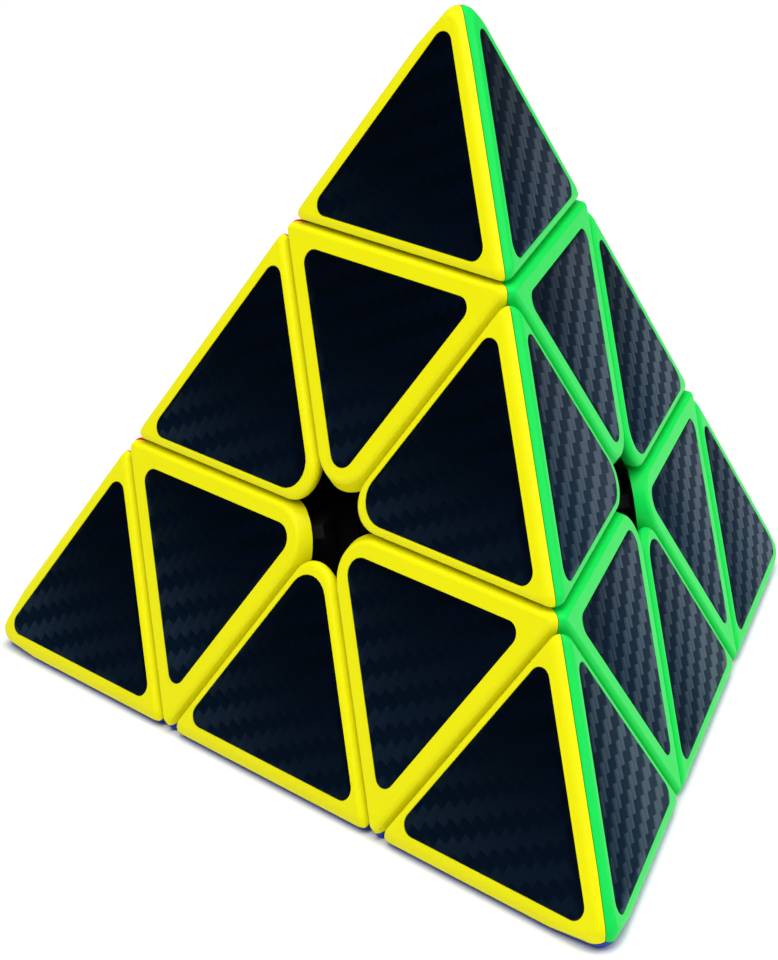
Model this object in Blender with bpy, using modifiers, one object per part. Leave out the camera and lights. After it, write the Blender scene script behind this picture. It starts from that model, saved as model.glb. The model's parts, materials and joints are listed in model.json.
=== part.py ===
"""Pyramid twisty puzzle: four turning tips, four axial pieces and six edge pieces round a spring-loaded core.

The origin is the centre of the core, and +Z runs through the apex.
"""

import math

import bmesh
import bpy
from mathutils import Matrix, Vector

MM = 0.001

# Driving dimensions of the ideal sharp tetrahedron that the pieces divide. A tip is a little over a third.
SHARP_EDGE = 102.5 * MM
HEIGHT = SHARP_EDGE * math.sqrt(2 / 3)
FACE_DISTANCE = HEIGHT / 4
LAYER_CUT = HEIGHT / 12
TIP_EXTRA = 0.5 * MM
TIP_CUT = LAYER_CUT + HEIGHT / 3 - TIP_EXTRA

# Clearances between pieces.
TURN_GAP = 0.35 * MM
SEAM_GAP = 0.2 * MM
INNER_GAP = 0.3 * MM

# Coloured shells.
SHELL_WALL = 2.0 * MM
RIDGE_RADIUS = 1.55 * MM
TETRA_CUT_RADIUS = 0.85 * MM
OCTA_CUT_RADIUS = 1.0 * MM
OCTA_HOLE_CORNER = 4.5 * MM
TETRA_HOLE_CORNER = 3.8 * MM
HOLE_CORNER_FACETS = 6
TIP_NOSE_RADIUS = 2.0 * MM
TIP_NOSE_ARC = math.radians(50)
OCTA_INNER_RADIUS = 1.2 * MM
RIDGE_CORNER_TRIM = 1.3 * MM
HOLE_WALL = 1.7 * MM
SHELL_VOID_RADIUS = 19.9 * MM

# Core, and the axial frame that turns on each of its arms.
CORE_RADIUS = 8.5 * MM
ARM_RADIUS = 2.4 * MM
ARM_TOP = 13.5 * MM
PILOT_RADIUS = 1.3 * MM
PILOT_BOTTOM = 5.0 * MM
STEM_INNER = 2.65 * MM
STEM_OUTER = 3.3 * MM
STEM_BOTTOM = 9.0 * MM
SEAT_BOTTOM = 14.2 * MM
SEAT_TOP = 16.2 * MM
SEAT_HOLE = 1.5 * MM
FLANGE_INNER = 11.6 * MM
FLANGE_OUTER = 15.8 * MM
FLANGE_CONE = math.radians(42)
FRAME_VOID_RADIUS = 15.5 * MM
CHAMBER_RADIUS = 3.4 * MM
LIP_RADIUS = 2.8 * MM
LIP_BOTTOM = 30.8 * MM

# Screw and spring.
HEAD_RADIUS = 2.5 * MM
HEAD_BOTTOM = 24.0 * MM
HEAD_TOP = 26.0 * MM
SHANK_RADIUS = 1.15 * MM
SHANK_BOTTOM = 6.0 * MM
DRIVE_RADIUS = 1.1 * MM
DRIVE_DEPTH = 1.2 * MM
SPRING_RADIUS = 2.35 * MM
SPRING_WIRE = 0.35 * MM
SPRING_TURNS = 5

# Tip hub: the stem snaps past the lip of the axial frame.
HUB_STEM_RADIUS = 2.45 * MM
HUB_RING_RADIUS = 3.05 * MM
HUB_RING_TOP = LIP_BOTTOM - 0.4 * MM
HUB_RING_BOTTOM = HUB_RING_TOP - 1.0 * MM

# Edge frame: a foot under two flanges, and a neck between them.
FOOT_INNER = 9.2 * MM
FOOT_OUTER = 11.3 * MM
FOOT_OWN_SIDE = 0.6 * MM
FOOT_FAR_SIDE = 0.1 * MM
NECK_HALF_ANGLE = math.radians(9)
NECK_HALF_WIDTH = 4.0 * MM
NECK_INNER = 10.2 * MM
NECK_OUTER = 15.0 * MM
NECK_ROOT_SIDE = LAYER_CUT + 0.7 * MM
NECK_ROOT_TOP = 17.6 * MM
EDGE_HOLLOW_FLOOR = 17.0 * MM

BLANK_SIZE = 4 * SHARP_EDGE
TOUCHING = 1e-7
BALL_SEGMENTS = 28
TURN_STEPS = 24
ROUND_SEGMENTS = 2
SMOOTH_BELOW = math.radians(40)

BASE_ANGLES = {"front": -90, "right": 30, "left": 150}
OPPOSITE_COLOUR = {"apex": "blue", "front": "red", "right": "yellow", "left": "green"}


def vertex_directions():
    """Unit vectors from the centre to the four corners."""
    directions = {"apex": Vector((0, 0, 1))}
    flat = math.sqrt(8) / 3
    for name, degrees in BASE_ANGLES.items():
        angle = math.radians(degrees)
        directions[name] = Vector((flat * math.cos(angle), flat * math.sin(angle), -1 / 3))
    return directions


CORNERS = vertex_directions()
APEX = CORNERS["apex"]
FRONT = CORNERS["front"]
RIGHT = CORNERS["right"]
LEFT = CORNERS["left"]


def frame_of(first, second):
    """A rotation matrix whose X axis is first, with second in its XY plane."""
    x_axis = first.normalized()
    y_axis = (second - x_axis * x_axis.dot(second)).normalized()
    return Matrix((x_axis, y_axis, x_axis.cross(y_axis))).transposed()


def turn_onto(corner, face):
    """The rotation that carries the apex to a corner, and the front corner to the one opposite a face."""
    target = frame_of(CORNERS[corner], CORNERS[face])
    return (target @ frame_of(APEX, FRONT).transposed()).to_4x4()


def others(*names):
    return [name for name in CORNERS if name not in names]


def third_corner(corner, face):
    """The corner that the right one lands on when the apex goes to corner and the front to face."""
    image = turn_onto(corner, face).to_3x3() @ RIGHT
    return max(others(corner, face), key=lambda name: CORNERS[name].dot(image))


# Collections and materials


def new_collection(name, parent, is_helper=False):
    collection = bpy.data.collections.new(name)
    collection.hide_render = is_helper
    parent.children.link(collection)
    return collection


def clear_scene():
    for thing in list(bpy.data.objects):
        bpy.data.objects.remove(thing)


clear_scene()
PUZZLE = new_collection("pyramid_twisty_puzzle", bpy.context.scene.collection)
HELPERS = new_collection("blanks_and_cutters", bpy.context.scene.collection, is_helper=True)


def plain_material(name, colour, roughness, metallic=0.0):
    material = bpy.data.materials.new(name)
    material.use_nodes = True
    shader = material.node_tree.nodes["Principled BSDF"]
    shader.inputs["Base Color"].default_value = (*colour, 1)
    shader.inputs["Roughness"].default_value = roughness
    shader.inputs["Metallic"].default_value = metallic
    material.diffuse_color = (*colour, 1)
    return material


def shell_materials():
    """One glossy coloured plastic for each face, by the name of its colour."""
    colours = {
        "yellow": (0.85, 0.83, 0.01),
        "green": (0.02, 0.72, 0.08),
        "blue": (0.01, 0.05, 0.45),
        "red": (0.75, 0.02, 0.02),
    }
    return {name: plain_material(name + "_plastic", rgb, 0.3) for name, rgb in colours.items()}


SHELL_PLASTIC = shell_materials()
BLACK_PLASTIC = plain_material("black_plastic", (0.012, 0.012, 0.014), 0.45)
STEEL = plain_material("screw_steel", (0.55, 0.55, 0.57), 0.3, metallic=1.0)
SPRING_STEEL = plain_material("spring_steel", (0.45, 0.45, 0.47), 0.35, metallic=1.0)


# Blanks and cutters


def helper_object(name, mesh):
    thing = bpy.data.objects.new(name, mesh)
    thing.display_type = "WIRE"
    thing.hide_render = True
    HELPERS.objects.link(thing)
    return thing


def mesh_from(shape, name):
    """Turns a bmesh into mesh data with its faces pointing out."""
    bmesh.ops.recalc_face_normals(shape, faces=shape.faces[:])
    mesh = bpy.data.meshes.new(name)
    shape.to_mesh(mesh)
    shape.free()
    return mesh


def cut_flat(shape, normal, distance):
    """Removes what lies beyond a plane from a convex shape, and closes the cut with one face."""
    normal = normal.normalized()
    everything = shape.verts[:] + shape.edges[:] + shape.faces[:]
    cut = bmesh.ops.bisect_plane(
        shape,
        geom=everything,
        dist=TOUCHING,
        plane_co=normal * distance,
        plane_no=normal,
        clear_outer=True,
    )
    rim = [part for part in cut["geom_cut"] if isinstance(part, bmesh.types.BMEdge)]
    if rim:
        bmesh.ops.contextual_create(shape, geom=rim)


def convex_shape(planes):
    """The space behind every (normal, distance) plane, as a bmesh."""
    shape = bmesh.new()
    bmesh.ops.create_cube(shape, size=BLANK_SIZE)
    for normal, distance in planes:
        cut_flat(shape, normal, distance)
    bmesh.ops.recalc_face_normals(shape, faces=shape.faces[:])
    return shape


def convex_helper(name, planes):
    return helper_object(name, mesh_from(convex_shape(planes), name))


def ball(name, radius, segments=BALL_SEGMENTS):
    shape = bmesh.new()
    bmesh.ops.create_uvsphere(shape, u_segments=segments, v_segments=segments // 2, radius=radius)
    return helper_object(name, mesh_from(shape, name))


def turned(name, outline):
    """A solid of revolution about Z. Its outline is (radius, height) points, down the outer side."""
    mesh = bpy.data.meshes.new(name)
    points = [(radius, 0, height) for radius, height in outline]
    mesh.from_pydata(points, [(n, n + 1) for n in range(len(points) - 1)], [])
    thing = helper_object(name, mesh)
    screw = thing.modifiers.new("turn", "SCREW")
    screw.steps = TURN_STEPS
    screw.render_steps = TURN_STEPS
    screw.use_merge_vertices = True
    screw.merge_threshold = TOUCHING
    return thing


def arc(radius, first_angle, last_angle, count):
    """(radius, height) points on a circle about the centre, with angles measured from +Z."""
    step = (last_angle - first_angle) / (count - 1)
    angles = [first_angle + step * n for n in range(count)]
    return [(radius * math.sin(angle), radius * math.cos(angle)) for angle in angles]


def rod(name, radius, bottom, top):
    return turned(name, [(0, top), (radius, top), (radius, bottom), (0, bottom)])


def change(body, operation, *tools):
    """Adds one exact Boolean modifier for each tool."""
    for tool in tools:
        boolean = body.modifiers.new(operation.lower() + "_" + tool.name, "BOOLEAN")
        boolean.operation = operation
        boolean.solver = "EXACT"
        boolean.object = tool
    return body


def baked(body, name):
    """The mesh that a helper's modifiers make, ready to be shared by its copies."""
    graph = bpy.context.evaluated_depsgraph_get()
    mesh = bpy.data.meshes.new_from_object(body.evaluated_get(graph))
    mesh.name = name
    mesh.materials.clear()
    mesh.shade_smooth()
    mesh.set_sharp_from_angle(angle=SMOOTH_BELOW)
    return mesh


# The three shapes that cuts through the tetrahedron leave


def tip_planes(inset=0.0):
    """The small tetrahedron at the apex, with every face moved in by inset."""
    sides = [(-CORNERS[name], FACE_DISTANCE - inset) for name in others("apex")]
    return sides + [(-APEX, -(TIP_CUT + TURN_GAP / 2 + inset))]


def axial_planes(inset=0.0):
    """The octahedron below the apex tip."""
    sides = [(-CORNERS[name], FACE_DISTANCE - inset) for name in others("apex")]
    inner_sides = [(CORNERS[name], LAYER_CUT - TURN_GAP / 2 - inset) for name in others("apex")]
    top = (APEX, TIP_CUT - TURN_GAP / 2 - inset)
    bottom = (-APEX, -(LAYER_CUT + TURN_GAP / 2 + inset))
    return sides + inner_sides + [top, bottom]


def edge_planes(inset=0.0):
    """The tetrahedron in the middle of the ridge between the apex and the right corner."""
    sides = [(-FRONT, FACE_DISTANCE - inset), (-LEFT, FACE_DISTANCE - inset)]
    cut_sides = [(-own, -(LAYER_CUT + TURN_GAP / 2 + inset)) for own in (APEX, RIGHT)]
    return sides + cut_sides


def ridge_corner_trims():
    """Planes that take off the three corners an octahedron has on the ridges."""
    planes = []
    for name in others("apex"):
        middle = (APEX + CORNERS[name]).normalized()
        ridge_distance = FACE_DISTANCE / (-CORNERS[others("apex", name)[0]]).dot(middle)
        planes.append((middle, ridge_distance - RIDGE_CORNER_TRIM))
    return planes


def hole_corners():
    """(direction, distance) of the three corners that an octahedron has at the face centres."""
    corners = []
    for name in others("apex"):
        outward = (-CORNERS[name] - APEX).normalized()
        corners.append((outward, outward.dot(-CORNERS[name]) * FACE_DISTANCE))
    return corners


def rounded_corner(first, second, corner, radius):
    """Planes that touch a cylinder between two walls, and so round off the corner where they meet."""
    opening = first.angle(second)
    middle = (first + second).normalized()
    centre = corner - middle * ((radius + TURN_GAP / 2) / math.cos(opening / 2))
    planes = []
    for step in range(1, HOLE_CORNER_FACETS):
        normal = first.slerp(second, step / HOLE_CORNER_FACETS)
        planes.append((normal, normal.dot(centre) + radius))
    return planes


def octahedron_hole_rounds():
    """The rounded corners that an axial piece shows at the face centres."""
    planes = []
    for name in others("apex"):
        first, second = (CORNERS[other] for other in others("apex", name))
        planes += rounded_corner(first, second, -CORNERS[name] * FACE_DISTANCE, OCTA_HOLE_CORNER)
    return planes


def edge_hole_rounds():
    """The rounded inner edge of an edge piece, which shows at two face centres."""
    return rounded_corner(-APEX, -RIGHT, -FRONT * FACE_DISTANCE, TETRA_HOLE_CORNER)


def is_outer(face):
    """Whether a face lies on the outside of the puzzle."""
    middle = face.calc_center_median()
    return any((-corner).dot(middle) > FACE_DISTANCE - TURN_GAP for corner in CORNERS.values())


def rounded_blank(name, planes, cut_radius):
    """A convex shape whose ridge, cut and inner edges are rounded by their own radii."""
    shape = convex_shape(planes)
    reach = {}
    for edge in shape.edges:
        outer_faces = sum(is_outer(face) for face in edge.link_faces)
        radius = (OCTA_INNER_RADIUS, cut_radius, RIDGE_RADIUS)[outer_faces]
        turn = edge.calc_face_angle()
        is_part_of_a_round = outer_faces == 0 and turn < SMOOTH_BELOW
        reach[edge.index] = 0.0 if is_part_of_a_round else radius * math.tan(turn / 2)
    widest = max(reach.values())
    weights = shape.edges.layers.float.new("bevel_weight_edge")
    for edge in shape.edges:
        edge[weights] = reach[edge.index] / widest
    blank = helper_object(name, mesh_from(shape, name))
    bevel = blank.modifiers.new("round", "BEVEL")
    bevel.limit_method = "WEIGHT"
    bevel.offset_type = "OFFSET"
    bevel.width = widest
    bevel.segments = ROUND_SEGMENTS
    return blank


def seam_wedge(name, limits):
    """The space behind planes through the centre, each moved in by half a seam."""
    return convex_helper(name, [(normal, -SEAM_GAP / 2) for normal in limits])


def axial_hollow_trims(gap=0.0):
    """Planes that keep the hollow of an axial piece away from its rounded corners at the face centres."""
    retreat = OCTA_HOLE_CORNER * (math.sqrt(3) - 1) + HOLE_WALL + gap
    return [(outward, distance - retreat) for outward, distance in hole_corners()]


def edge_hollow_floor(gap=0.0):
    """The plane that keeps the hollow of an edge piece away from its rounded inner edge."""
    return -(APEX + RIGHT).normalized(), -(EDGE_HOLLOW_FLOOR + gap)


# Coloured shells


def third_of_a_turn(name):
    """The part of the space round the apex axis that belongs to the face opposite the front corner."""
    return seam_wedge(name, [RIGHT.cross(APEX), APEX.cross(LEFT)])


def tip_nose():
    """A ball that touches the three faces under the apex corner, and the cone that widens from it."""
    centre = 3 * (FACE_DISTANCE - TIP_NOSE_RADIUS)
    outline = [(radius, centre + height) for radius, height in arc(TIP_NOSE_RADIUS, 0, TIP_NOSE_ARC, 4)]
    radius, height = outline[-1]
    widest = radius + (height - LAYER_CUT) / math.tan(TIP_NOSE_ARC)
    return turned("tip_nose", outline + [(widest, LAYER_CUT), (0, LAYER_CUT)])


def tip_shell():
    """One of three coloured walls of a tip, open inside for the hub."""
    blank = rounded_blank("tip_blank", tip_planes(), TETRA_CUT_RADIUS)
    change(blank, "INTERSECT", tip_nose(), third_of_a_turn("tip_wedge"))
    hollow = convex_helper("tip_hollow", tip_planes(SHELL_WALL))
    stem_hole = rod("tip_stem_hole", LIP_RADIUS, LAYER_CUT, TIP_CUT + 2 * SHELL_WALL)
    change(blank, "DIFFERENCE", hollow, stem_hole)
    return baked(blank, "tip_shell")


def axial_shell():
    """One of three coloured walls of an axial piece, open towards the core."""
    planes = axial_planes() + ridge_corner_trims() + octahedron_hole_rounds()
    blank = rounded_blank("axial_blank", planes, OCTA_CUT_RADIUS)
    change(blank, "INTERSECT", third_of_a_turn("axial_wedge"))
    hollow = convex_helper("axial_hollow", axial_planes(SHELL_WALL) + axial_hollow_trims())
    stem_hole = rod("axial_stem_hole", LIP_RADIUS, LAYER_CUT, TIP_CUT + SHELL_WALL)
    void = ball("axial_void", SHELL_VOID_RADIUS)
    change(blank, "DIFFERENCE", hollow, stem_hole, void)
    return baked(blank, "axial_shell")


def edge_shell():
    """One of two coloured halves of an edge piece, open towards the core."""
    blank = rounded_blank("edge_blank", edge_planes() + edge_hole_rounds(), TETRA_CUT_RADIUS)
    change(blank, "INTERSECT", seam_wedge("edge_wedge", [FRONT - LEFT]))
    hollow = convex_helper("edge_hollow", edge_planes(SHELL_WALL) + [edge_hollow_floor()])
    void = ball("edge_void", SHELL_VOID_RADIUS)
    change(blank, "DIFFERENCE", hollow, void)
    return baked(blank, "edge_shell")


# Black frames inside the shells


def tip_hub():
    """The core of a tip, with a stem that snaps into the axial frame and turns there."""
    hub = convex_helper("tip_hub_blank", tip_planes(SHELL_WALL + INNER_GAP))
    stem_top = TIP_CUT + 2 * SHELL_WALL
    stem = turned(
        "tip_hub_stem",
        [
            (0, stem_top),
            (HUB_STEM_RADIUS, stem_top),
            (HUB_STEM_RADIUS, HUB_RING_TOP),
            (HUB_RING_RADIUS, HUB_RING_TOP),
            (HUB_STEM_RADIUS, HUB_RING_BOTTOM),
            (0, HUB_RING_BOTTOM),
        ],
    )
    return baked(change(hub, "UNION", stem), "tip_hub")


def axial_frame():
    """The block inside an axial piece, its flange over the edge feet, and the bore for screw and spring."""
    inset = SHELL_WALL + INNER_GAP
    frame = convex_helper("axial_frame_blank", axial_planes(inset) + axial_hollow_trims(INNER_GAP))
    change(frame, "DIFFERENCE", ball("axial_frame_void", FRAME_VOID_RADIUS))
    stem_angle = math.asin(STEM_OUTER / FLANGE_INNER)
    outer_face = arc(FLANGE_OUTER, 0, FLANGE_CONE, 5)
    inner_face = arc(FLANGE_INNER, FLANGE_CONE, stem_angle, 4)
    flange = turned("axial_flange", outer_face + inner_face + [(STEM_OUTER, STEM_BOTTOM), (0, STEM_BOTTOM)])
    above = LIP_BOTTOM + 2 * SHELL_WALL
    bore = turned(
        "axial_bore",
        [
            (0, above),
            (LIP_RADIUS, above),
            (LIP_RADIUS, LIP_BOTTOM),
            (CHAMBER_RADIUS, LIP_BOTTOM),
            (CHAMBER_RADIUS, SEAT_TOP),
            (SEAT_HOLE, SEAT_TOP),
            (SEAT_HOLE, SEAT_BOTTOM),
            (STEM_INNER, SEAT_BOTTOM),
            (STEM_INNER, STEM_BOTTOM - MM),
            (0, STEM_BOTTOM - MM),
        ],
    )
    change(frame, "UNION", flange)
    change(frame, "DIFFERENCE", bore)
    return baked(frame, "axial_frame")


def edge_neck():
    """The neck between two flanges, on the middle line from the centre to the ridge."""
    outward = (APEX + RIGHT).normalized()
    across = APEX.cross(RIGHT).normalized()
    walls = []
    for corner in (APEX, RIGHT):
        along = (corner - outward * corner.dot(outward)).normalized()
        walls.append((along * math.cos(NECK_HALF_ANGLE) - outward * math.sin(NECK_HALF_ANGLE), 0.0))
    sides = [(across, NECK_HALF_WIDTH), (-across, NECK_HALF_WIDTH)]
    neck = convex_helper("edge_neck", walls + sides + [(-outward, -NECK_INNER)])
    return change(neck, "INTERSECT", ball("edge_neck_limit", NECK_OUTER))


def edge_neck_root():
    """The part of the neck that stands inside the edge piece's own cuts."""
    outward = (APEX + RIGHT).normalized()
    across = APEX.cross(RIGHT).normalized()
    own_cuts = [(-own, -NECK_ROOT_SIDE) for own in (APEX, RIGHT)]
    sides = [(across, NECK_HALF_WIDTH), (-across, NECK_HALF_WIDTH)]
    return convex_helper("edge_neck_root", own_cuts + sides + [(outward, NECK_ROOT_TOP)])


def edge_frame():
    """The foot under the flanges, the neck, and the block that fills the two coloured halves."""
    own_sides = [(-own, -FOOT_OWN_SIDE) for own in (APEX, RIGHT)]
    far_sides = [(far, FOOT_FAR_SIDE) for far in (FRONT, LEFT)]
    foot = ball("edge_foot", FOOT_OUTER)
    foot_limit = convex_helper("edge_foot_limit", own_sides + far_sides)
    change(foot, "INTERSECT", foot_limit)
    change(foot, "DIFFERENCE", ball("edge_foot_hollow", FOOT_INNER))
    block = convex_helper("edge_block", edge_planes(SHELL_WALL + INNER_GAP) + [edge_hollow_floor(INNER_GAP)])
    change(foot, "UNION", edge_neck(), edge_neck_root(), block)
    return baked(foot, "edge_frame")


# Core, screws and springs


def core_spider():
    """The centre ball with four drilled arms, one towards each corner."""
    core = ball("core_ball", CORE_RADIUS)
    arm = baked(rod("core_arm", ARM_RADIUS, CORE_RADIUS / 2, ARM_TOP), "core_arm")
    drill = baked(rod("core_drill", PILOT_RADIUS, PILOT_BOTTOM, ARM_TOP + MM), "core_drill")
    for mesh, operation in ((arm, "UNION"), (drill, "DIFFERENCE")):
        for corner in CORNERS:
            tool = helper_object(mesh.name + "_" + corner, mesh)
            tool.rotation_mode = "QUATERNION"
            tool.rotation_quaternion = APEX.rotation_difference(CORNERS[corner])
            change(core, operation, tool)
    return baked(core, "core_spider")


def axial_screw():
    """A cap screw along +Z with a socket in its head."""
    socket_floor = HEAD_TOP - DRIVE_DEPTH
    screw = turned(
        "screw_blank",
        [
            (0, socket_floor),
            (DRIVE_RADIUS, socket_floor),
            (DRIVE_RADIUS, HEAD_TOP),
            (HEAD_RADIUS, HEAD_TOP),
            (HEAD_RADIUS, HEAD_BOTTOM),
            (SHANK_RADIUS, HEAD_BOTTOM),
            (SHANK_RADIUS, SHANK_BOTTOM + SHANK_RADIUS),
            (0, SHANK_BOTTOM),
        ],
    )
    return baked(screw, "axial_screw")


def coil_spring():
    """A compression spring between its seat and the screw head, as a round wire along a helix."""
    clear = INNER_GAP + SPRING_WIRE
    bottom = SEAT_TOP + clear
    rise = HEAD_BOTTOM - clear - bottom
    points_per_turn = 12
    count = SPRING_TURNS * points_per_turn + 1
    curve = bpy.data.curves.new("spring_path", "CURVE")
    curve.dimensions = "3D"
    curve.bevel_depth = SPRING_WIRE
    curve.bevel_resolution = 0
    curve.use_fill_caps = True
    path = curve.splines.new("POLY")
    path.points.add(count - 1)
    for index in range(count):
        angle = 2 * math.pi * index / points_per_turn
        height = bottom + rise * index / (count - 1)
        path.points[index].co = (SPRING_RADIUS * math.cos(angle), SPRING_RADIUS * math.sin(angle), height, 1)
    return baked(helper_object("spring_path", curve), "coil_spring")


# Placing the parts


def pivot(name, parent=None):
    """An empty at the centre, through which every turning axis passes."""
    empty = bpy.data.objects.new(name, None)
    empty.empty_display_size = 10 * MM
    empty.parent = parent
    PUZZLE.objects.link(empty)
    return empty


def place(name, mesh, material, turn, group):
    part = bpy.data.objects.new(name, mesh)
    if not mesh.materials:
        mesh.materials.append(material)
    part.material_slots[0].link = "OBJECT"
    part.material_slots[0].material = material
    part.rotation_mode = "QUATERNION"
    part.rotation_quaternion = turn.to_quaternion()
    part.parent = group
    PUZZLE.objects.link(part)


def build():
    core_group = pivot("core_pivot")
    apex_layer = pivot("apex_layer_pivot", core_group)
    tip_groups = {name: pivot(name + "_tip_pivot", core_group) for name in others("apex")}
    tip_groups["apex"] = pivot("apex_tip_pivot", apex_layer)

    tip_mesh = tip_shell()
    axial_mesh = axial_shell()
    edge_mesh = edge_shell()
    hub_mesh = tip_hub()
    axial_frame_mesh = axial_frame()
    edge_frame_mesh = edge_frame()
    screw_mesh = axial_screw()
    spring_mesh = coil_spring()
    place("core_spider", core_spider(), BLACK_PLASTIC, Matrix.Identity(4), core_group)

    for corner in CORNERS:
        first_face = others(corner)[0]
        turn = turn_onto(corner, first_face)
        layer = apex_layer if corner == "apex" else core_group
        place(corner + "_tip_hub", hub_mesh, BLACK_PLASTIC, turn, tip_groups[corner])
        place(corner + "_axial_frame", axial_frame_mesh, BLACK_PLASTIC, turn, layer)
        place(corner + "_axial_screw", screw_mesh, STEEL, turn, core_group)
        place(corner + "_axial_spring", spring_mesh, SPRING_STEEL, turn, layer)
        for face in others(corner):
            colour = OPPOSITE_COLOUR[face]
            turn = turn_onto(corner, face)
            plastic = SHELL_PLASTIC[colour]
            place(f"{corner}_tip_shell_{colour}", tip_mesh, plastic, turn, tip_groups[corner])
            place(f"{corner}_axial_shell_{colour}", axial_mesh, plastic, turn, layer)

            pair = sorted((corner, third_corner(corner, face)))
            edge_group = apex_layer if "apex" in pair else core_group
            edge_name = "_".join(pair) + "_edge"
            place(f"{edge_name}_shell_{colour}", edge_mesh, plastic, turn, edge_group)
            if face < others(*pair, face)[0]:
                place(edge_name + "_frame", edge_frame_mesh, BLACK_PLASTIC, turn, edge_group)


build()
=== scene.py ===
import json
import math

import bmesh
import bpy
from mathutils import Matrix, Quaternion, Vector


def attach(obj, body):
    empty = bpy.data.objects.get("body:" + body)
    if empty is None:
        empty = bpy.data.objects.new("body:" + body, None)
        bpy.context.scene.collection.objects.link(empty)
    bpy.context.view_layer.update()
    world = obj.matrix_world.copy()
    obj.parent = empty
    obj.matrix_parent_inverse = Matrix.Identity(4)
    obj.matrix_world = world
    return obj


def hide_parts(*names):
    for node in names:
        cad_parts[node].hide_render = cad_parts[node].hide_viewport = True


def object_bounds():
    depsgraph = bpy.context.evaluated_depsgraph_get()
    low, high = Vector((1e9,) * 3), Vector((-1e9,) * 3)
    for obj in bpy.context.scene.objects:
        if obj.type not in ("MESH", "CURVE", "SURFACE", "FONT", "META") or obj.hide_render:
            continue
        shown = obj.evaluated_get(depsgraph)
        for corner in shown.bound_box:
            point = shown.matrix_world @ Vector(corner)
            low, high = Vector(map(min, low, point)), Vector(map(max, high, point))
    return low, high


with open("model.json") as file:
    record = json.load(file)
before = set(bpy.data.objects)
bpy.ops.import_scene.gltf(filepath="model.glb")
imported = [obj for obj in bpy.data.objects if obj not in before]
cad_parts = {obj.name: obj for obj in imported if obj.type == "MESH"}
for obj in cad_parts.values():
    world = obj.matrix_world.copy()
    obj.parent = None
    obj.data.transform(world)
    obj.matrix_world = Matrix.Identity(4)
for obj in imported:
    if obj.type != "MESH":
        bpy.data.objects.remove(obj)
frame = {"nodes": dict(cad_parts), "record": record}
CAD_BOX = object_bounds()

MM = 0.001

# The ideal sharp tetrahedron, from the height of the centre above the face that it rests on. A tip is a
# little over a third of it.
FACE_DISTANCE = -frame["record"]["mounts"][0]["pos_m"][2]
HEIGHT = 4 * FACE_DISTANCE
SHARP_EDGE = HEIGHT / math.sqrt(2 / 3)
LAYER_CUT = HEIGHT / 12
TIP_EXTRA = 0.5 * MM
TIP_CUT = LAYER_CUT + HEIGHT / 3 - TIP_EXTRA
FACE_INRADIUS = SHARP_EDGE / math.sqrt(12)

# Coloured shells, in the CAD model's own sizes but with finer rounding.
TURN_GAP = 0.35 * MM
SEAM_GAP = 0.08 * MM
SHELL_WALL = 2.0 * MM
RIDGE_RADIUS = 1.55 * MM
TETRA_CUT_RADIUS = 0.85 * MM
OCTA_CUT_RADIUS = 1.0 * MM
OCTA_HOLE_CORNER = 4.5 * MM
TETRA_HOLE_CORNER = 3.8 * MM
HOLE_CORNER_FACETS = 16
TIP_NOSE_RADIUS = 2.0 * MM
TIP_NOSE_ARC = math.radians(50)
OCTA_INNER_RADIUS = 1.2 * MM
RIDGE_CORNER_TRIM = 1.3 * MM
HOLE_WALL = 1.7 * MM
EDGE_HOLLOW_FLOOR = 17.0 * MM
VOID_RADIUS = 19.9 * MM
STEM_HOLE_RADIUS = 2.8 * MM
ROUND_SEGMENTS = 6
NOSE_RINGS = 10
NOSE_SEGMENTS = 48
BALL_SEGMENTS = 64
ROD_SEGMENTS = 48

# Stickers: margins to the gap lines and to the ridges, corner radii, and how they sit in their pockets.
TETRA_MARGIN = 0.016 * SHARP_EDGE
OCTA_MARGIN = 0.0205 * SHARP_EDGE
RIDGE_MARGIN = 0.0268 * SHARP_EDGE
CORNER_RADIUS = 0.0125 * SHARP_EDGE
EDGE_HOLE_CORNER_RADIUS = 0.027 * SHARP_EDGE
OCTA_HOLE_CORNER_RADIUS = 0.017 * SHARP_EDGE
STICKER_THICKNESS = 0.22 * MM
STICKER_PROUD = 0.04 * MM
STICKER_EDGE = 0.05 * MM
POCKET_DEPTH = 0.2 * MM
POCKET_CLEARANCE = 0.07 * MM
POCKET_REACH = 2 * MM
CORNER_STEPS = 8
EDGE_STEPS = 2

BLANK_SIZE = 4 * SHARP_EDGE
TOUCHING = 1e-7
SMOOTH_BELOW = math.radians(35)
SHARP_ABOVE = math.radians(60)

OPPOSITE_COLOUR = {"apex": "blue", "front": "red", "right": "yellow", "left": "green"}
BASE_ANGLES = {"front": -90, "right": 30, "left": 150}


def vertex_directions():
    """Unit vectors from the centre to the four corners."""
    directions = {"apex": Vector((0, 0, 1))}
    flat = math.sqrt(8) / 3
    for name, degrees in BASE_ANGLES.items():
        angle = math.radians(degrees)
        directions[name] = Vector((flat * math.cos(angle), flat * math.sin(angle), -1 / 3))
    return directions


CORNERS = vertex_directions()
APEX = CORNERS["apex"]
FRONT = CORNERS["front"]
RIGHT = CORNERS["right"]
LEFT = CORNERS["left"]


def frame_of(first, second):
    """A rotation matrix whose X axis is first, with second in its XY plane."""
    x_axis = first.normalized()
    y_axis = (second - x_axis * x_axis.dot(second)).normalized()
    return Matrix((x_axis, y_axis, x_axis.cross(y_axis))).transposed()


def turn_onto(corner, face):
    """The rotation that carries the apex to a corner, and the front corner to the one opposite a face."""
    target = frame_of(CORNERS[corner], CORNERS[face])
    return (target @ frame_of(APEX, FRONT).transposed()).to_4x4()


def others(*names):
    return [name for name in CORNERS if name not in names]


def third_corner(corner, face):
    """The corner that the right one lands on when the apex goes to corner and the front to face."""
    image = turn_onto(corner, face).to_3x3() @ RIGHT
    return max(others(corner, face), key=lambda name: CORNERS[name].dot(image))


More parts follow.
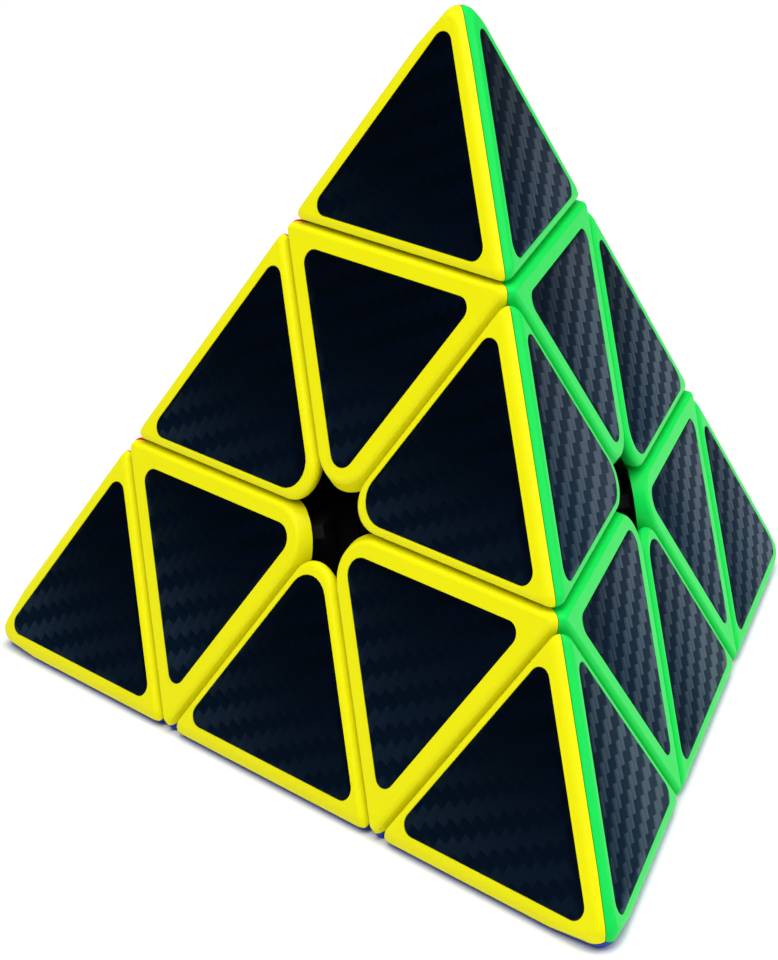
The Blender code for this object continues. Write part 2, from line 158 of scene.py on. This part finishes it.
# Camera, floor and light

CAMERA_AZIMUTH = math.radians(-14.85)
CAMERA_ELEVATION = math.radians(23.34)
CAMERA_ROLL = math.radians(-0.356)
CAMERA_DISTANCE = 2.9852 * SHARP_EDGE
CAMERA_TARGET = Vector((-0.0677, 0.0371, 0.0509)) * SHARP_EDGE
CAMERA_LENS = 103.5
NEAREST_SEEN = 0.01

FLOOR_REACH = 6.0
FLOOR_DROP = 0.05 * MM
FLOOR_PALE = (0.93, 0.93, 0.93, 1)
FLOOR_ROUGHNESS = 0.9
FLOOR_SHEEN = 0.1

WHITE = (1, 1, 1, 1)
WORLD_STRENGTH = 0.12
# Azimuth and elevation in degrees, distance and size in metres, and power in watts.
SOFTBOXES = {
    "top_softbox": (0, 88, 1.1, 1.2, 15),
    "front_left_softbox": (-40, 48, 0.9, 0.5, 2.6),
    "right_softbox": (80, 30, 0.8, 0.5, 2.5),
}


def direction(azimuth, elevation):
    """A unit vector, with azimuth measured from -Y towards +X and elevation from the horizontal."""
    level = math.cos(elevation)
    return Vector((math.sin(azimuth) * level, -math.cos(azimuth) * level, math.sin(elevation)))


def add_camera():
    data = bpy.data.cameras.new("camera")
    data.lens = CAMERA_LENS
    data.clip_start = NEAREST_SEEN
    camera = bpy.data.objects.new("camera", data)
    bpy.context.scene.collection.objects.link(camera)
    camera.location = direction(CAMERA_AZIMUTH, CAMERA_ELEVATION) * CAMERA_DISTANCE
    look = (CAMERA_TARGET - camera.location).to_track_quat("-Z", "Y")
    camera.rotation_euler = (look @ Quaternion((0, 0, 1), CAMERA_ROLL)).to_euler()
    bpy.context.scene.camera = camera


def add_floor():
    shape = bmesh.new()
    bmesh.ops.create_grid(shape, x_segments=1, y_segments=1, size=FLOOR_REACH)
    mesh = bpy.data.meshes.new("floor")
    shape.to_mesh(mesh)
    shape.free()
    floor = bpy.data.objects.new("floor", mesh)
    floor.location.z = CAD_BOX[0].z - FLOOR_DROP
    material = bpy.data.materials.new("pale_floor")
    material.use_nodes = True
    shader = material.node_tree.nodes["Principled BSDF"]
    shader.inputs["Base Color"].default_value = FLOOR_PALE
    shader.inputs["Roughness"].default_value = FLOOR_ROUGHNESS
    shader.inputs["Specular IOR Level"].default_value = FLOOR_SHEEN
    mesh.materials.append(material)
    bpy.context.scene.collection.objects.link(floor)


def add_softbox(name, azimuth, elevation, distance, size, power):
    """A square area light that faces the object."""
    data = bpy.data.lights.new(name, "AREA")
    data.shape = "SQUARE"
    data.size = size
    data.energy = power
    light = bpy.data.objects.new(name, data)
    towards = direction(math.radians(azimuth), math.radians(elevation))
    light.location = towards * distance
    light.rotation_euler = (-towards).to_track_quat("-Z", "Y").to_euler()
    bpy.context.scene.collection.objects.link(light)


def add_lights():
    world = bpy.data.worlds.new("studio")
    world.use_nodes = True
    background = world.node_tree.nodes["Background"]
    background.inputs["Color"].default_value = WHITE
    background.inputs["Strength"].default_value = WORLD_STRENGTH
    bpy.context.scene.world = world
    for name, settings in SOFTBOXES.items():
        add_softbox(name, *settings)
    bpy.context.scene.view_settings.view_transform = "Standard"


# Shader helpers


class Nodes:
    """Short calls for building one material's node tree."""

    def __init__(self, name):
        self.material = bpy.data.materials.new(name)
        self.material.use_nodes = True
        self.tree = self.material.node_tree
        self.shader = self.tree.nodes["Principled BSDF"]

    def add(self, kind, **settings):
        node = self.tree.nodes.new(kind)
        for key, value in settings.items():
            setattr(node, key, value)
        return node

    def link(self, source, target):
        self.tree.links.new(source, target)

    def feed(self, socket, value):
        """Links a socket to a socket, or sets a plain value."""
        if isinstance(value, bpy.types.NodeSocket):
            self.link(value, socket)
        else:
            socket.default_value = value

    def math(self, operation, first, second=0.0):
        node = self.add("ShaderNodeMath", operation=operation)
        self.feed(node.inputs[0], first)
        self.feed(node.inputs[1], second)
        return node.outputs[0]

    def mix(self, factor, first, second):
        """Blends two colours."""
        node = self.add("ShaderNodeMix", data_type="RGBA")
        self.feed(node.inputs["Factor"], factor)
        self.feed(node.inputs[6], first)
        self.feed(node.inputs[7], second)
        return node.outputs[2]

    def span(self, value, low, high):
        """Maps 0 to 1 onto low to high."""
        node = self.add("ShaderNodeMapRange")
        self.feed(node.inputs["Value"], value)
        node.inputs["To Min"].default_value = low
        node.inputs["To Max"].default_value = high
        return node.outputs[0]

    def noise(self, scale, detail=4.0, roughness=0.5):
        node = self.add("ShaderNodeTexNoise")
        node.inputs["Scale"].default_value = scale
        node.inputs["Detail"].default_value = detail
        node.inputs["Roughness"].default_value = roughness
        place = self.add("ShaderNodeTexCoord")
        self.link(place.outputs["Object"], node.inputs["Vector"])
        return node.outputs["Fac"]

    def bump(self, height, strength, distance):
        node = self.add("ShaderNodeBump")
        node.inputs["Strength"].default_value = strength
        node.inputs["Distance"].default_value = distance
        self.feed(node.inputs["Height"], height)
        self.link(node.outputs["Normal"], self.shader.inputs["Normal"])


CLOUD_SCALE = 90.0
CLOUD_SHARE = 0.5
SMUDGE_SCALE = 260.0
SMUDGE_DETAIL = 5.0
SMUDGE_ROUGHNESS = 0.6
GLOSS_BELOW = 0.08
GLOSS_ABOVE = 0.1
PLASTIC_SPECULAR = 0.07
GRAIN_SCALE = 5200.0
GRAIN_STRENGTH = 0.06
GRAIN_DEPTH = 0.05 * MM


def moulded_plastic(name, colour, shade, roughness):
    """Injection-moulded plastic: cloudy colour, a fine satin grain, and handling marks in its gloss."""
    nodes = Nodes(name)
    cloud = nodes.span(nodes.noise(CLOUD_SCALE, detail=3.0), 0.0, CLOUD_SHARE)
    nodes.feed(nodes.shader.inputs["Base Color"], nodes.mix(cloud, colour, shade))
    smudges = nodes.noise(SMUDGE_SCALE, SMUDGE_DETAIL, SMUDGE_ROUGHNESS)
    gloss = nodes.span(smudges, roughness - GLOSS_BELOW, roughness + GLOSS_ABOVE)
    nodes.feed(nodes.shader.inputs["Roughness"], gloss)
    nodes.shader.inputs["Specular IOR Level"].default_value = PLASTIC_SPECULAR
    nodes.bump(nodes.noise(GRAIN_SCALE, detail=2.0), GRAIN_STRENGTH, GRAIN_DEPTH)
    return nodes.material


DRAWN_SCALE = 1400.0
DRAWN_SHADE = 0.75
DRAWN_GLOSS_BELOW = 0.08
DRAWN_GLOSS_ABOVE = 0.12
DRAWN_STRENGTH = 0.1
DRAWN_DEPTH = 0.05 * MM


def steel(name, colour, roughness):
    """Plated steel with fine drawing marks."""
    nodes = Nodes(name)
    marks = nodes.noise(DRAWN_SCALE)
    darker = tuple(channel * DRAWN_SHADE for channel in colour[:3]) + (1,)
    nodes.feed(nodes.shader.inputs["Base Color"], nodes.mix(marks, darker, colour))
    gloss = nodes.span(marks, roughness - DRAWN_GLOSS_BELOW, roughness + DRAWN_GLOSS_ABOVE)
    nodes.feed(nodes.shader.inputs["Roughness"], gloss)
    nodes.shader.inputs["Metallic"].default_value = 1.0
    nodes.bump(marks, DRAWN_STRENGTH, DRAWN_DEPTH)
    return nodes.material


TOW_WIDTH = 1.25 * MM
TOW_ANGLE = math.radians(-18)
FIBRES_PER_TOW = 9.0
FIBRE_SHARE = 0.12
TWILL_REPEAT = 4.0
TWILL_FLOAT = 1.5
# The bright colour and edge tint are a painted sheen on the warp floats; the dull ones go on the weft
# floats.
FILM_DULL = (0.0022, 0.006, 0.015, 1)
FILM_BRIGHT = (0.003, 0.008, 0.0185, 1)
FILM_DULL_EDGE = (0.52, 0.60, 0.70, 1)
FILM_BRIGHT_EDGE = (0.68, 0.8, 0.9, 1)
FILM_CLOUD_SCALE = 60.0
FILM_CLOUD_SHARE = 0.6
FILM_ROUGH_WEFT = 0.5
FILM_ROUGH_WARP = 0.36
FILM_STRENGTH = 0.22
FILM_DEPTH = 0.06 * MM
UV_NAME = "facelet"


def carbon_film():
    """Film printed with a two-over-two twill: each tow shows as a crowned float, with fibres along it. The
    warp floats carry a painted sheen: a brighter colour and edge tint than the weft floats, broken up by a
    random cloud.
    """
    nodes = Nodes("carbon_film")
    place = nodes.add("ShaderNodeUVMap", uv_map=UV_NAME)
    turned = nodes.add("ShaderNodeMapping")
    turned.inputs["Rotation"].default_value = (0, 0, -TOW_ANGLE)
    turned.inputs["Scale"].default_value = (MM / TOW_WIDTH, MM / TOW_WIDTH, 1)
    nodes.link(place.outputs["UV"], turned.inputs["Vector"])
    split = nodes.add("ShaderNodeSeparateXYZ")
    nodes.link(turned.outputs["Vector"], split.inputs["Vector"])
    across, along = split.outputs["X"], split.outputs["Y"]
    column = nodes.math("FLOOR", across)
    row = nodes.math("FLOOR", along)
    step = nodes.math("FLOORED_MODULO", nodes.math("SUBTRACT", column, row), TWILL_REPEAT)
    warp_up = nodes.math("LESS_THAN", step, TWILL_FLOAT)

    fibre_place = nodes.add("ShaderNodeMix", data_type="FLOAT")
    nodes.feed(fibre_place.inputs["Factor"], warp_up)
    nodes.feed(fibre_place.inputs[2], along)
    nodes.feed(fibre_place.inputs[3], across)
    side = fibre_place.outputs[0]
    in_tow = nodes.math("FRACT", side)
    crown = nodes.math("SINE", nodes.math("MULTIPLY", in_tow, math.pi))
    fibres = nodes.math("SINE", nodes.math("MULTIPLY", side, 2 * math.pi * FIBRES_PER_TOW))
    height = nodes.math("ADD", crown, nodes.math("MULTIPLY", fibres, FIBRE_SHARE))

    cloud = nodes.span(nodes.noise(FILM_CLOUD_SCALE, detail=2.0), 0.0, FILM_CLOUD_SHARE)
    # Painted sheen: the warp floats get the brighter colour and edge tint, less where the random cloud
    # falls.
    painted_sheen_mask = nodes.math("SUBTRACT", warp_up, nodes.math("MULTIPLY", warp_up, cloud))
    nodes.feed(nodes.shader.inputs["Base Color"], nodes.mix(painted_sheen_mask, FILM_DULL, FILM_BRIGHT))
    nodes.feed(nodes.shader.inputs["Specular Tint"], nodes.mix(painted_sheen_mask, FILM_DULL_EDGE, FILM_BRIGHT_EDGE))
    nodes.feed(nodes.shader.inputs["Roughness"], nodes.span(warp_up, FILM_ROUGH_WEFT, FILM_ROUGH_WARP))
    nodes.shader.inputs["Metallic"].default_value = 1.0
    nodes.bump(height, FILM_STRENGTH, FILM_DEPTH)
    return nodes.material


SHELL_ROUGHNESS = 0.34
BLACK_ROUGHNESS = 0.45
# Each colour with its darker cloud.
SHELL_COLOURS = {
    "yellow": ((0.86, 0.82, 0.004, 1), (0.78, 0.76, 0.004, 1)),
    "green": ((0.006, 0.68, 0.085, 1), (0.005, 0.6, 0.07, 1)),
    "blue": ((0.008, 0.05, 0.42, 1), (0.006, 0.04, 0.34, 1)),
    "red": ((0.74, 0.012, 0.012, 1), (0.62, 0.01, 0.01, 1)),
}
BLACK_COLOURS = ((0.010, 0.010, 0.012, 1), (0.016, 0.016, 0.018, 1))

SHELL_PLASTIC = {}
for colour_name, colour_pair in SHELL_COLOURS.items():
    SHELL_PLASTIC[colour_name] = moulded_plastic(colour_name + "_moulding", *colour_pair, SHELL_ROUGHNESS)
BLACK_PLASTIC = moulded_plastic("black_moulding", *BLACK_COLOURS, BLACK_ROUGHNESS)
SCREW_STEEL = steel("zinc_plated_steel", colour=(0.62, 0.62, 0.64, 1), roughness=0.3)
SPRING_STEEL = steel("spring_wire", colour=(0.5, 0.5, 0.52, 1), roughness=0.34)
CARBON_FILM = carbon_film()


# Solid modelling


def helper(name, shape):
    """A working object from a bmesh. It stays in the scene until baked() removes it."""
    bmesh.ops.recalc_face_normals(shape, faces=shape.faces[:])
    mesh = bpy.data.meshes.new(name)
    shape.to_mesh(mesh)
    shape.free()
    thing = bpy.data.objects.new(name, mesh)
    bpy.context.scene.collection.objects.link(thing)
    return thing


def convex_shape(planes):
    """The space behind every (normal, distance) plane, as a bmesh."""
    shape = bmesh.new()
    bmesh.ops.create_cube(shape, size=BLANK_SIZE)
    for normal, distance in planes:
        normal = normal.normalized()
        cut = bmesh.ops.bisect_plane(
            shape,
            geom=shape.verts[:] + shape.edges[:] + shape.faces[:],
            dist=TOUCHING,
            plane_co=normal * distance,
            plane_no=normal,
            clear_outer=True,
        )
        rim = [part for part in cut["geom_cut"] if isinstance(part, bmesh.types.BMEdge)]
        if rim:
            bmesh.ops.contextual_create(shape, geom=rim)
    bmesh.ops.recalc_face_normals(shape, faces=shape.faces[:])
    return shape


def ball(name, radius):
    shape = bmesh.new()
    bmesh.ops.create_uvsphere(shape, u_segments=BALL_SEGMENTS, v_segments=BALL_SEGMENTS // 2, radius=radius)
    return helper(name, shape)


def rod(name, radius, bottom, top):
    shape = bmesh.new()
    bmesh.ops.create_cone(
        shape,
        cap_ends=True,
        segments=ROD_SEGMENTS,
        radius1=radius,
        radius2=radius,
        depth=top - bottom,
        matrix=Matrix.Translation((0, 0, (bottom + top) / 2)),
    )
    return helper(name, shape)


def tip_nose():
    """A ball that touches the three faces under the apex corner, and the cone that widens from it."""
    centre = 3 * (FACE_DISTANCE - TIP_NOSE_RADIUS)
    angles = [TIP_NOSE_ARC * (ring + 1) / NOSE_RINGS for ring in range(NOSE_RINGS)]
    rings = []
    for angle in angles:
        rings.append((TIP_NOSE_RADIUS * math.sin(angle), centre + TIP_NOSE_RADIUS * math.cos(angle)))
    radius, height = rings[-1]
    rings.append((radius + (height - LAYER_CUT) / math.tan(TIP_NOSE_ARC), LAYER_CUT))
    shape = bmesh.new()
    top = shape.verts.new((0, 0, centre + TIP_NOSE_RADIUS))
    above = None
    for radius, height in rings:
        ring = []
        for n in range(NOSE_SEGMENTS):
            angle = 2 * math.pi * n / NOSE_SEGMENTS
            ring.append(shape.verts.new((radius * math.cos(angle), radius * math.sin(angle), height)))
        for n in range(NOSE_SEGMENTS):
            after = (n + 1) % NOSE_SEGMENTS
            upper = [above[after], above[n]] if above else [top]
            shape.faces.new([ring[n], ring[after], *upper])
        above = ring
    shape.faces.new(above)
    return helper("tip_nose", shape)


def change(body, operation, *tools):
    """Adds one exact Boolean modifier for each tool."""
    for tool in tools:
        boolean = body.modifiers.new(operation.lower(), "BOOLEAN")
        boolean.operation = operation
        boolean.solver = "EXACT"
        boolean.object = tool
    return body


def baked(body, tools, name):
    """The mesh that the modifiers make. The body and its tools go."""
    graph = bpy.context.evaluated_depsgraph_get()
    mesh = bpy.data.meshes.new_from_object(body.evaluated_get(graph))
    mesh.name = name
    mesh.materials.clear()
    mesh.shade_smooth()
    mesh.set_sharp_from_angle(angle=SMOOTH_BELOW)
    for thing in [body, *tools]:
        bpy.data.objects.remove(thing)
    return mesh


def tip_planes(inset=0.0):
    """The small tetrahedron at the apex, with every face moved in by inset."""
    sides = [(-CORNERS[name], FACE_DISTANCE - inset) for name in others("apex")]
    return sides + [(-APEX, -(TIP_CUT + TURN_GAP / 2 + inset))]


def axial_planes(inset=0.0):
    """The octahedron below the apex tip."""
    sides = [(-CORNERS[name], FACE_DISTANCE - inset) for name in others("apex")]
    inner_sides = [(CORNERS[name], LAYER_CUT - TURN_GAP / 2 - inset) for name in others("apex")]
    top = (APEX, TIP_CUT - TURN_GAP / 2 - inset)
    bottom = (-APEX, -(LAYER_CUT + TURN_GAP / 2 + inset))
    return sides + inner_sides + [top, bottom]


def edge_planes(inset=0.0):
    """The tetrahedron in the middle of the ridge between the apex and the right corner."""
    sides = [(-FRONT, FACE_DISTANCE - inset), (-LEFT, FACE_DISTANCE - inset)]
    cut_sides = [(-own, -(LAYER_CUT + TURN_GAP / 2 + inset)) for own in (APEX, RIGHT)]
    return sides + cut_sides


def ridge_corner_trims():
    """Planes that take off the three corners an octahedron has on the ridges."""
    planes = []
    for name in others("apex"):
        middle = (APEX + CORNERS[name]).normalized()
        ridge_distance = FACE_DISTANCE / (-CORNERS[others("apex", name)[0]]).dot(middle)
        planes.append((middle, ridge_distance - RIDGE_CORNER_TRIM))
    return planes


def hole_corners():
    """(direction, distance) of the three corners that an octahedron has at the face centres."""
    corners = []
    for name in others("apex"):
        outward = (-CORNERS[name] - APEX).normalized()
        corners.append((outward, outward.dot(-CORNERS[name]) * FACE_DISTANCE))
    return corners


def rounded_corner(first, second, corner, radius):
    """Planes that touch a cylinder between two walls, and so round off the corner where they meet."""
    opening = first.angle(second)
    middle = (first + second).normalized()
    centre = corner - middle * ((radius + TURN_GAP / 2) / math.cos(opening / 2))
    planes = []
    for step in range(1, HOLE_CORNER_FACETS):
        normal = first.slerp(second, step / HOLE_CORNER_FACETS)
        planes.append((normal, normal.dot(centre) + radius))
    return planes


def octahedron_hole_rounds():
    """The rounded corners that an axial piece shows at the face centres."""
    planes = []
    for name in others("apex"):
        first, second = (CORNERS[other] for other in others("apex", name))
        planes += rounded_corner(first, second, -CORNERS[name] * FACE_DISTANCE, OCTA_HOLE_CORNER)
    return planes


def edge_hole_rounds():
    """The rounded inner edge of an edge piece, which shows at two face centres."""
    return rounded_corner(-APEX, -RIGHT, -FRONT * FACE_DISTANCE, TETRA_HOLE_CORNER)


def axial_hollow_trims():
    """Planes that keep the hollow of an axial piece away from its rounded corners at the face centres."""
    retreat = OCTA_HOLE_CORNER * (math.sqrt(3) - 1) + HOLE_WALL
    return [(outward, distance - retreat) for outward, distance in hole_corners()]


def edge_hollow_floor():
    """The plane that keeps the hollow of an edge piece away from its rounded inner edge."""
    return -(APEX + RIGHT).normalized(), -EDGE_HOLLOW_FLOOR


def is_outer(face):
    """Whether a face lies on the outside of the puzzle."""
    middle = face.calc_center_median()
    return any((-corner).dot(middle) > FACE_DISTANCE - TURN_GAP for corner in CORNERS.values())


def rounded_blank(name, planes, cut_radius):
    """A convex shape whose ridge, cut and inner edges are rounded by their own radii."""
    shape = convex_shape(planes)
    reach = {}
    for edge in shape.edges:
        outer_faces = sum(is_outer(face) for face in edge.link_faces)
        radius = (OCTA_INNER_RADIUS, cut_radius, RIDGE_RADIUS)[outer_faces]
        turn = edge.calc_face_angle()
        is_part_of_a_round = outer_faces == 0 and turn < SMOOTH_BELOW
        reach[edge.index] = 0.0 if is_part_of_a_round else radius * math.tan(turn / 2)
    widest = max(reach.values())
    weights = shape.edges.layers.float.new("bevel_weight_edge")
    for edge in shape.edges:
        edge[weights] = reach[edge.index] / widest
    blank = helper(name, shape)
    bevel = blank.modifiers.new("round", "BEVEL")
    bevel.limit_method = "WEIGHT"
    bevel.offset_type = "OFFSET"
    bevel.width = widest
    bevel.segments = ROUND_SEGMENTS
    return blank


def seam_wedge(limits):
    return helper("seam_wedge", convex_shape([(normal, -SEAM_GAP / 2) for normal in limits]))


# Stickers, drawn in the plane of the face opposite the front corner

FACE_NORMAL = -FRONT
FACE_UP = (APEX - FACE_NORMAL * APEX.dot(FACE_NORMAL)).normalized()
FACE_ACROSS = FACE_UP.cross(FACE_NORMAL).normalized()
IN_PLANE_SHARE = math.sqrt(8) / 3


def side_towards(corner, cut):
    """The line where a cut across a corner's axis meets the face, as (direction angle, distance)."""
    flat = Vector((CORNERS[corner].dot(FACE_ACROSS), CORNERS[corner].dot(FACE_UP)))
    return math.atan2(flat.y, flat.x), (cut - FACE_DISTANCE / 3) / IN_PLANE_SHARE


def turned_round(side):
    angle, distance = side
    return angle + math.pi, -distance


def ridge_side(opposite_corner):
    """The ridge of the face that lies across from a corner."""
    angle, _ = side_towards(opposite_corner, LAYER_CUT)
    return angle + math.pi, FACE_INRADIUS - RIDGE_MARGIN


def moved_in(side, margin):
    return side[0], side[1] - margin


def tip_outline(grow=0.0):
    lower = moved_in(turned_round(side_towards("apex", TIP_CUT)), TETRA_MARGIN)
    sides = [ridge_side("left"), ridge_side("right"), lower]
    return rounded_outline(sides, [CORNER_RADIUS] * 3, grow)


def axial_outline(grow=0.0):
    upper = moved_in(side_towards("apex", TIP_CUT), OCTA_MARGIN)
    lower_right = moved_in(side_towards("right", LAYER_CUT), OCTA_MARGIN)
    lower_left = moved_in(side_towards("left", LAYER_CUT), OCTA_MARGIN)
    radii = [CORNER_RADIUS, CORNER_RADIUS, OCTA_HOLE_CORNER_RADIUS]
    return rounded_outline([lower_right, upper, lower_left], radii, grow)


def edge_outline(grow=0.0):
    lower = moved_in(turned_round(side_towards("apex", LAYER_CUT)), TETRA_MARGIN)
    inner = moved_in(turned_round(side_towards("right", LAYER_CUT)), TETRA_MARGIN)
    radii = [CORNER_RADIUS, EDGE_HOLE_CORNER_RADIUS, CORNER_RADIUS]
    return rounded_outline([ridge_side("left"), inner, lower], radii, grow)


def line_crossing(first, second):
    """Where two lines, each a (normal angle, distance), cross."""
    (angle_a, distance_a), (angle_b, distance_b) = first, second
    scale = math.sin(angle_b - angle_a)
    x = (distance_a * math.sin(angle_b) - distance_b * math.sin(angle_a)) / scale
    y = (distance_b * math.cos(angle_a) - distance_a * math.cos(angle_b)) / scale
    return Vector((x, y))


def rounded_outline(sides, radii, grow):
    """A triangle with rounded corners. The radius at index n is between sides n and n + 1."""
    points = []
    for index, radius in enumerate(radii):
        first = sides[index]
        second = sides[(index + 1) % len(sides)]
        centre = line_crossing(moved_in(first, radius), moved_in(second, radius))
        sweep = (second[0] - first[0] + math.pi) % (2 * math.pi) - math.pi
        for step in range(CORNER_STEPS + 1):
            angle = first[0] + sweep * step / CORNER_STEPS
            points.append(centre + Vector((math.cos(angle), math.sin(angle))) * (radius + grow))
    return points


def plate(name, outline, bottom, top):
    """A flat plate on the face, between two heights measured from the face's plane."""
    shape = bmesh.new()
    corners = []
    for point in outline:
        in_plane = FACE_ACROSS * point.x + FACE_UP * point.y
        corners.append(shape.verts.new(in_plane + FACE_NORMAL * (FACE_DISTANCE + bottom)))
    base = shape.faces.new(corners)
    raised = bmesh.ops.extrude_face_region(shape, geom=[base])["geom"]
    upper = [part for part in raised if isinstance(part, bmesh.types.BMVert)]
    bmesh.ops.translate(shape, verts=upper, vec=FACE_NORMAL * (top - bottom))
    return helper(name, shape)


def sticker_mesh(name, outline):
    """A thin film with softened edges."""
    body = plate(name, outline, STICKER_PROUD - STICKER_THICKNESS, STICKER_PROUD)
    bevel = body.modifiers.new("soften", "BEVEL")
    bevel.width = STICKER_EDGE
    bevel.segments = EDGE_STEPS
    bevel.limit_method = "ANGLE"
    bevel.angle_limit = SHARP_ABOVE
    return baked(body, [], name)


def pocket(outline):
    return plate("pocket", outline, -POCKET_DEPTH, POCKET_REACH)


# Coloured shells


def third_of_a_turn():
    return seam_wedge([RIGHT.cross(APEX), APEX.cross(LEFT)])


def tip_shell():
    blank = rounded_blank("tip_blank", tip_planes(), TETRA_CUT_RADIUS)
    hollow = helper("hollow", convex_shape(tip_planes(SHELL_WALL)))
    hole = rod("hole", STEM_HOLE_RADIUS, LAYER_CUT, TIP_CUT + 2 * SHELL_WALL)
    wedge = third_of_a_turn()
    recess = pocket(tip_outline(POCKET_CLEARANCE))
    nose = tip_nose()
    change(blank, "INTERSECT", nose, wedge)
    change(blank, "DIFFERENCE", recess, hollow, hole)
    return baked(blank, [nose, wedge, recess, hollow, hole], "tip_shell")


def axial_shell():
    planes = axial_planes() + ridge_corner_trims() + octahedron_hole_rounds()
    blank = rounded_blank("axial_blank", planes, OCTA_CUT_RADIUS)
    hollow = helper("hollow", convex_shape(axial_planes(SHELL_WALL) + axial_hollow_trims()))
    hole = rod("hole", STEM_HOLE_RADIUS, LAYER_CUT, TIP_CUT + SHELL_WALL)
    wedge = third_of_a_turn()
    recess = pocket(axial_outline(POCKET_CLEARANCE))
    void = ball("void", VOID_RADIUS)
    change(blank, "INTERSECT", wedge)
    change(blank, "DIFFERENCE", recess, hollow, hole, void)
    return baked(blank, [wedge, recess, hollow, hole, void], "axial_shell")


def edge_shell():
    blank = rounded_blank("edge_blank", edge_planes() + edge_hole_rounds(), TETRA_CUT_RADIUS)
    hollow = helper("hollow", convex_shape(edge_planes(SHELL_WALL) + [edge_hollow_floor()]))
    wedge = seam_wedge([FRONT - LEFT])
    recess = pocket(edge_outline(POCKET_CLEARANCE))
    void = ball("void", VOID_RADIUS)
    change(blank, "INTERSECT", wedge)
    change(blank, "DIFFERENCE", recess, hollow, void)
    return baked(blank, [wedge, recess, hollow, void], "edge_shell")


# Placing the pieces


def place_shell(node, mesh, turn, body, colour):
    """A finely rounded shell in place of the CAD one."""
    piece = bpy.data.objects.new(node + "_moulding", mesh.copy())
    piece.data.transform(turn)
    piece.data.materials.append(SHELL_PLASTIC[colour])
    bpy.context.scene.collection.objects.link(piece)
    weighted = piece.modifiers.new("flat_faces_stay_flat", "WEIGHTED_NORMAL")
    weighted.keep_sharp = True
    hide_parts(node)
    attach(piece, body)


def face_axes(face):
    """Directions across and up a face, the same for all nine of its stickers."""
    normal = -CORNERS[face]
    upper = CORNERS["apex"] if face != "apex" else CORNERS["front"]
    up = (upper - normal * upper.dot(normal)).normalized()
    return up.cross(normal).normalized(), up


def lay_pattern(mesh, face):
    """Gives a sticker texture coordinates in millimetres across and up its face."""
    across, up = face_axes(face)
    layer = mesh.uv_layers.new(name=UV_NAME)
    for loop in mesh.loops:
        point = mesh.vertices[loop.vertex_index].co
        layer.data[loop.index].uv = (point.dot(across) / MM, point.dot(up) / MM)


def place_sticker(name, mesh, turn, body, face):
    piece = bpy.data.objects.new(name, mesh.copy())
    piece.data.transform(turn)
    piece.data.materials.append(CARBON_FILM)
    lay_pattern(piece.data, face)
    bpy.context.scene.collection.objects.link(piece)
    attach(piece, body)


def body_holding(node):
    return next(name for name, nodes in frame["record"]["behaviour"]["bodies"].items() if node in nodes)


def place_facelets():
    shells = {"tip": tip_shell(), "axial": axial_shell(), "edge": edge_shell()}
    stickers = {
        "tip": sticker_mesh("tip_sticker", tip_outline()),
        "axial": sticker_mesh("axial_sticker", axial_outline()),
        "edge": sticker_mesh("edge_sticker", edge_outline()),
    }
    for corner in CORNERS:
        for face in others(corner):
            colour = OPPOSITE_COLOUR[face]
            turn = turn_onto(corner, face)
            pair = "_".join(sorted((corner, third_corner(corner, face))))
            owners = {"tip": corner + "_tip", "axial": corner + "_axial", "edge": pair + "_edge"}
            for kind, owner in owners.items():
                node = f"{owner}_shell_{colour}"
                body = body_holding(node)
                place_shell(node, shells[kind], turn, body, colour)
                place_sticker(f"{owner}_sticker_{colour}", stickers[kind], turn, body, face)


def finish_inner_nodes():
    """Gives the CAD nodes that stay their own finish."""
    finishes = {"_screw": SCREW_STEEL, "_spring": SPRING_STEEL}
    for name, node in frame["nodes"].items():
        if "_shell_" in name:
            continue
        finish = next((made for end, made in finishes.items() if name.endswith(end)), BLACK_PLASTIC)
        for slot in node.material_slots:
            slot.material = finish


add_camera()
add_floor()
add_lights()
place_facelets()
finish_inner_nodes()
